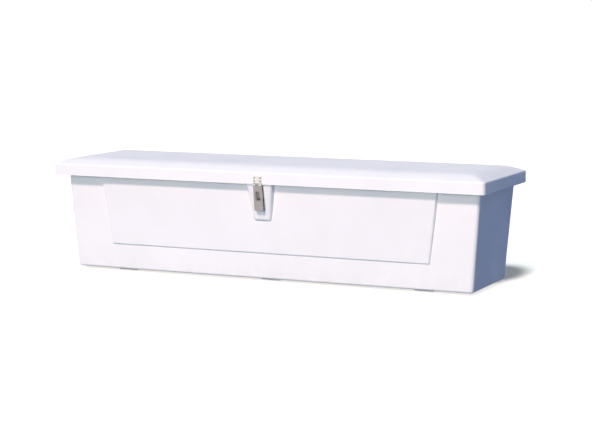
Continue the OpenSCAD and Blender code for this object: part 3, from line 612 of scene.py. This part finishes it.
# fittings: the worked-out solids with their edges broken
easeSize = {"steps": 2, "angle": 40, "smooth": 32}
fittings = {  # node: how far its edges are broken, and its look
    "hinge_leaf_body": (0.00025, steelLengthwise), "hinge_leaf_lid": (0.00025, steelLengthwise),
    "hinge_pin": (0.0003, steelLengthwise), "hinge_rivets_body": (0.0002, plainAlloy),
    "hinge_rivets_lid": (0.0002, plainAlloy), "hinge_strip_body": (0.0004, plainAlloy),
    "hinge_strip_lid": (0.0004, plainAlloy), "staple_plate": (0.0005, steelUprightPaintedShade),
    "staple_ring": (0.0, steelUprightPaintedShade), "staple_screws": (0.0003, steelUprightPaintedShade),
    "staple_nuts": (0.0003, steelUprightPaintedShade), "staple_backing_plate": (0.0004, steelUprightPaintedShade),
    "hasp_leaf": (0.0005, steelPaintedShine), "hasp_pin": (0.0003, steelLengthwise),
    "hasp_screws": (0.0003, steelUprightPaintedShade), "hasp_nuts": (0.0003, steelUprightPaintedShade),
    "hasp_backing_plate": (0.0004, steelUprightPaintedShade), "hasp_strap": (0.0005, steelUprightPaintedShade),
    "skid_screws": (0.0003, steelUprightPaintedShade), "stay_stud_left": (0.0003, steelLengthwise),
    "stay_stud_right": (0.0003, steelLengthwise), "stay_stud_screws": (0.0003, steelLengthwise),
    "stay_bracket_left": (0.0005, steelLengthwise), "stay_bracket_right": (0.0005, steelLengthwise),
    "stay_pivot_left": (0.0003, steelLengthwise), "stay_pivot_right": (0.0003, steelLengthwise),
    "stay_bracket_screws": (0.0003, steelUprightPaintedShade), "stay_arm_left": (0.0005, steelUprightPaintedShade),
    "stay_arm_right": (0.0005, steelUprightPaintedShade), "stay_pad_left": (0.001, resinPly),
    "stay_pad_right": (0.001, resinPly), "lid_core": (0.001, resinPly),
    "lid_liner": (0.0008, linerPaint)}
slotOf = {part["node"]: part["material_slot"] for part in frame["record"]["subparts"]}
for node, (width, look) in fittings.items():
    solid = cadNodes[node]
    fitting = addCopy(node + "_fitting", solid.data)
    tidyFaces(fitting)
    if width:
        takeUp(fitting)
        ease = fitting.modifiers.new("ease", "BEVEL")
        ease.width, ease.segments, ease.limit_method = width, easeSize["steps"], "ANGLE"
        ease.angle_limit = math.radians(easeSize["angle"])
        bpy.ops.object.modifier_apply(modifier=ease.name)
    fitting.data.materials.clear()
    fitting.data.materials.append(look)
    smoothOff(fitting, easeSize["smooth"])
    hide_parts(node)
    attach(fitting, solid["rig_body"])
print("fittings eased:", len(fittings))


# the solids underneath carry the same looks
slotLooks = {"gelcoat": whiteGelcoat, "liner": linerPaint, "stainless": steelUprightPaintedShade,
             "alloy": plainAlloy, "seal": sealFoam, "plywood": resinPly, "runner": whiteRunner}
for node, solid in cadNodes.items():
    for index in range(len(solid.data.materials)):
        solid.data.materials[index] = slotLooks[slotOf[node]]


def seenOrMirrored(tree):  # tells what is looked at, straight or in a shine, from what throws light
    rays = addNode(tree, "LightPath")
    seen = mathOf(tree, "MAXIMUM", rays.outputs["Is Camera Ray"], rays.outputs["Is Glossy Ray"])
    return mathOf(tree, "MAXIMUM", seen, rays.outputs["Is Transmission Ray"])


# floor: reads white where it is lit and grey in shadow, and throws little light back up; just behind the box
# its glow is held back, a painted shadow
floorTone = {"size": 120, "glow": (1.0, 0.99, 0.97), "plain": 0.74, "lit": (0.84, 0.68, 0.54),
             "bounce": (0.10, 0.17, 0.30), "behind": (0, 0.36, 0), "shadeHalf": (0.735, 0, 0),
             "shadeReach": (0.17, 0.30, 1), "fadeFrom": 0.55, "fadeTo": 1.05}
clearSelection()
bpy.ops.mesh.primitive_plane_add(size=floorTone["size"], location=(0, 0, 0))
floor = bpy.context.object
floor.name = "floor"
paleFloor, tree, shader = newLook("paleFloor")
tree.nodes.remove(shader)
paint = addNode(tree, "BsdfDiffuse", {"Color": (*floorTone["lit"], 1)})
# painted shadow: the glow is held back just behind the box, so the floor there is darker than the lamps' own
# shadow makes it
place = addNode(tree, "TexCoord")
fromShade = vectorOf(tree, "SUBTRACT", place.outputs["Object"], floorTone["behind"])
beyond = vectorOf(tree, "SUBTRACT", vectorOf(tree, "ABSOLUTE", fromShade), floorTone["shadeHalf"])
outside = vectorOf(tree, "MAXIMUM", beyond, (0, 0, 0))
paintedShadowDistance = vectorOf(tree, "LENGTH", vectorOf(tree, "DIVIDE", outside, floorTone["shadeReach"]))
# painted shadow: no glow inside the zone, rising to the plain glow outside it
fade = addNode(tree, "MapRange",
               {"Value": paintedShadowDistance, "From Min": floorTone["fadeFrom"], "From Max": floorTone["fadeTo"],
                "To Max": floorTone["plain"]}, interpolation_type="SMOOTHSTEP")
glow = addNode(tree, "Emission", {"Color": (*floorTone["glow"], 1), "Strength": fade.outputs["Result"]})
both = addNode(tree, "AddShader", {0: paint.outputs["BSDF"], 1: glow.outputs["Emission"]})
dim = addNode(tree, "BsdfDiffuse", {"Color": (*floorTone["bounce"], 1)})
pickRay = addNode(tree, "MixShader",
                  {0: seenOrMirrored(tree), 1: dim.outputs["BSDF"], 2: both.outputs["Shader"]})
tree.links.new(pickRay.outputs["Shader"], tree.nodes["Material Output"].inputs["Surface"])
floor.data.materials.append(paleFloor)

# studio light: a key from the front, a low fill under the lip, a soft top light and a fill behind
lamps = {
    "keyLight": {"from": (0.0, -0.775, 0.63), "strength": 2.22, "colour": (1.0, 0.79, 0.73),
                 "soft": 9.0, "glint": False},
    "lowLight": {"from": (-0.04, -0.99, 0.12), "strength": 1.65, "colour": (1.0, 1.0, 0.85),
                 "soft": 24.0, "glint": True},
    "topLight": {"from": (0.0, 0.0, 1.0), "strength": 0.56, "colour": (0.72, 1.0, 0.85),
                 "soft": 50.0, "glint": True},
    "fillLight": {"from": (-0.5, 0.86, 0.02), "strength": 1.8, "colour": (1.0, 0.93, 0.82),
                  "soft": 8.0, "glint": False}}
lampsAway = 6
for name, values in lamps.items():
    clearSelection()
    bpy.ops.object.light_add(type="SUN", location=Vector(values["from"]) * lampsAway)
    lamp = bpy.context.object
    lamp.name = name
    lamp.rotation_euler = Vector(values["from"]).to_track_quat("Z", "Y").to_euler()
    lamp.data.energy, lamp.data.color = values["strength"], values["colour"]
    lamp.data.angle = math.radians(values["soft"])
    lamp.visible_glossy = values["glint"]  # without it a lamp leaves no glare on the lid

# cool room, which looks white itself
roomTone = {"light": (0.097, 0.162, 0.35), "look": (1, 1, 1)}
room = bpy.data.worlds.new("room")
scene.world = room
room.use_nodes = True
tree = room.node_tree
tree.nodes.clear()
cool = addNode(tree, "Background", {"Color": (*roomTone["light"], 1), "Strength": 1.0})
white = addNode(tree, "Background", {"Color": (*roomTone["look"], 1), "Strength": 1.0})
pickRay = addNode(tree, "MixShader",
                  {0: seenOrMirrored(tree), 1: cool.outputs["Background"], 2: white.outputs["Background"]})
end = addNode(tree, "OutputWorld")
tree.links.new(pickRay.outputs["Shader"], end.inputs["Surface"])
scene.view_settings.view_transform = "Standard"

# camera: worked out from the photo's edges and vanishing lines, 592 by 428
viewFrom = {"yaw": 24.76, "pitch": 7.185, "roll": 0.104, "focalPixels": 1780.2, "pictureWidth": 592,
            "distance": 7.056, "target": (0.0452, 0.0, 0.2462), "sensor": 36, "farthest": 200}
yaw, pitch, roll = (math.radians(viewFrom[key]) for key in ("yaw", "pitch", "roll"))
ahead = Vector((-math.sin(yaw) * math.cos(pitch), math.cos(yaw) * math.cos(pitch), -math.sin(pitch)))
right = Vector((math.cos(yaw), math.sin(yaw), 0))
down = ahead.cross(right)
sideways = right * math.cos(roll) + down * math.sin(roll)
up = right * math.sin(roll) - down * math.cos(roll)
spot = Vector(viewFrom["target"]) - ahead * viewFrom["distance"]
clearSelection()
bpy.ops.object.camera_add()
camera = bpy.context.object
camera.name = "camera"
facingBox = Matrix((sideways, up, -ahead)).transposed().to_4x4()
camera.matrix_world = Matrix.Translation(spot) @ facingBox
camera.data.sensor_fit, camera.data.sensor_width = "HORIZONTAL", viewFrom["sensor"]
camera.data.lens = viewFrom["focalPixels"] / viewFrom["pictureWidth"] * viewFrom["sensor"]
camera.data.clip_end = viewFrom["farthest"]
scene.camera = camera
print("stage set")
